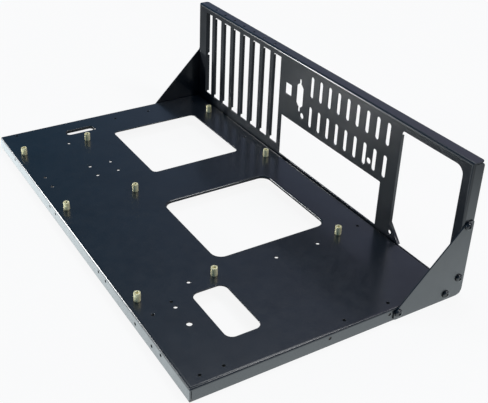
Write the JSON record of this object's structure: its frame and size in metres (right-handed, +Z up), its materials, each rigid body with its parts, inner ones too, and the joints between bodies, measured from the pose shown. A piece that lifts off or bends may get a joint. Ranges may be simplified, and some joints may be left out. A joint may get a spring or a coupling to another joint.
{
  "type": "sheet metal chassis",
  "caption": "Open-air computer chassis: a folded steel tray with board standoffs and windows, an upright slotted rear panel and triangular corner gussets.",
  "frame": {"origin": "centre of the footprint, on the surface that the tray's flanges stand on", "axes": "+X along the rear panel, from its card slots to its power supply opening; +Y from the front of the tray to the rear panel; +Z up"},
  "size_m": [0.4488, 0.264, 0.13],
  "materials": {
    "powder_coat": "satin black powder coat",
    "black_screw": "glossy black",
    "brass": "bright turned"
  },
  "bodies": {
    "root": {"base_tray": "powder_coat", "rear_panel": "powder_coat", "left_gusset": "powder_coat", "right_gusset": "powder_coat", "left_gusset_screw_1": "black_screw", "left_gusset_screw_2": "black_screw", "left_gusset_screw_3": "black_screw", "left_gusset_screw_4": "black_screw", "right_gusset_screw_1": "black_screw", "right_gusset_screw_2": "black_screw", "right_gusset_screw_3": "black_screw", "right_gusset_screw_4": "black_screw", "board_standoff_1": "brass", "board_standoff_2": "brass", "board_standoff_3": "brass", "board_standoff_4": "brass", "board_standoff_5": "brass", "board_standoff_6": "brass", "board_standoff_7": "brass", "board_standoff_8": "brass", "board_standoff_9": "brass"}
  },
  "joints": []
}
